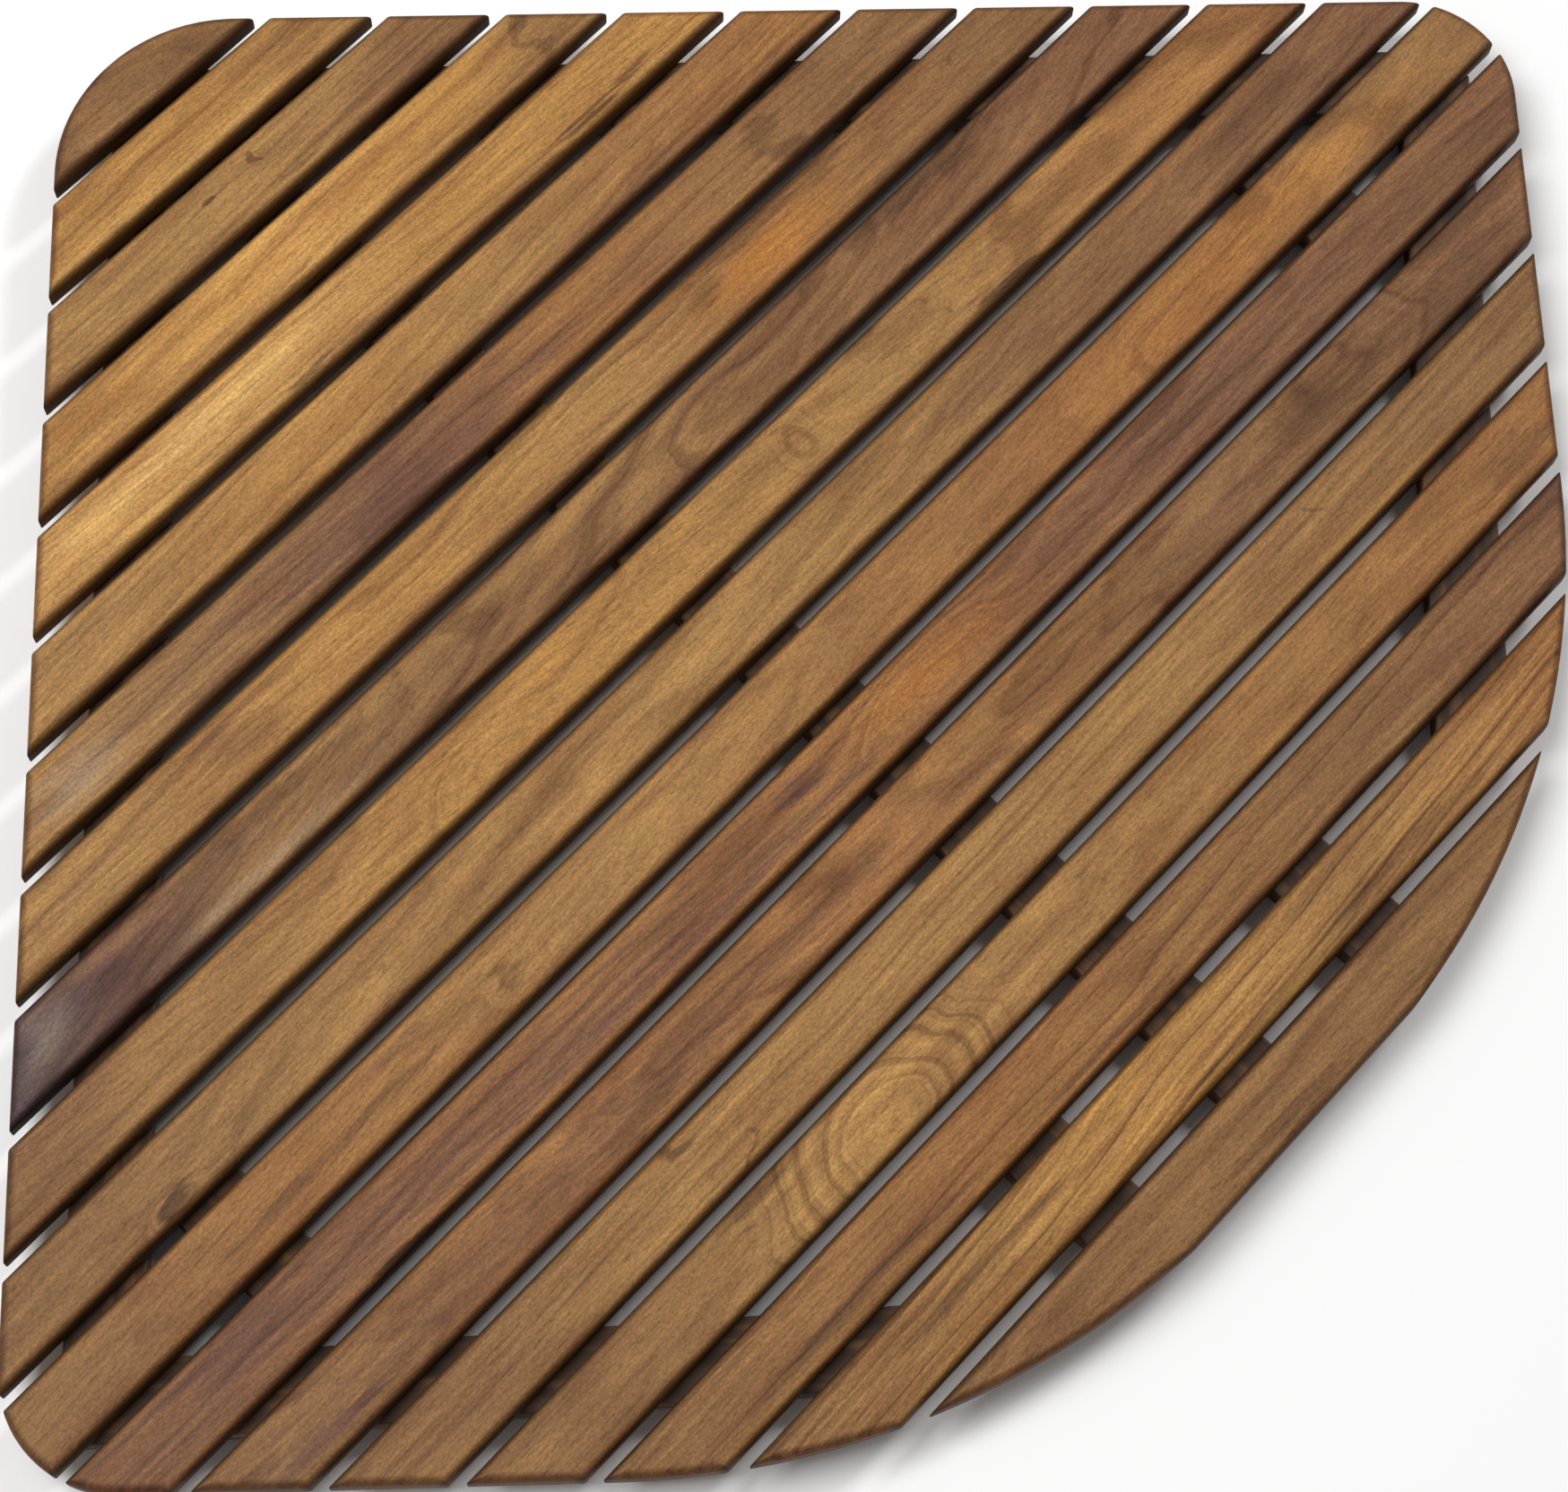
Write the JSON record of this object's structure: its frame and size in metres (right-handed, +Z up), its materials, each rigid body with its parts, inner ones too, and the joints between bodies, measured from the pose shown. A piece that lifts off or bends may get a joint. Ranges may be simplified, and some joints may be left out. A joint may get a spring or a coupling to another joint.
{
  "type": "bath mat",
  "caption": "Fan-shaped slatted wooden corner mat for a shower: round-edged slats across the fan on a screwed batten frame with small rubber feet.",
  "frame": {"origin": "on the floor under the middle of the overall bounding box, at the bottom of the rubber feet", "axes": "+X along the slats, +Y towards the corner of the two walls, +Z up from the floor to the standing face"},
  "size_m": [1.0304, 0.8204, 0.032],
  "materials": {
    "slats": "oiled teak, satin",
    "battens": "oiled teak, darker underside, satin",
    "feet": "matte black rubber",
    "screws": "satin stainless steel"
  },
  "bodies": {
    "root": {"slat_01": "slats", "slat_02": "slats", "slat_03": "slats", "slat_04": "slats", "slat_05": "slats", "slat_06": "slats", "slat_07": "slats", "slat_08": "slats", "slat_09": "slats", "slat_10": "slats", "slat_11": "slats", "slat_12": "slats", "slat_13": "slats", "slat_14": "slats", "slat_15": "slats", "slat_16": "slats", "slat_17": "slats", "slat_18": "slats", "slat_19": "slats", "centre_batten": "battens", "wall_batten_right": "battens", "wall_batten_left": "battens", "side_batten_right": "battens", "side_batten_left": "battens", "corner_batten_right": "battens", "corner_batten_left": "battens", "front_batten_right": "battens", "front_batten_left": "battens", "foot_01": "feet", "foot_02": "feet", "foot_03": "feet", "foot_04": "feet", "foot_05": "feet", "foot_06": "feet", "foot_07": "feet", "foot_08": "feet", "foot_09": "feet", "foot_10": "feet", "foot_11": "feet", "foot_12": "feet", "foot_13": "feet", "foot_14": "feet", "foot_15": "feet", "foot_16": "feet", "slat_screws": "screws", "foot_screws": "screws"}
  },
  "joints": []
}
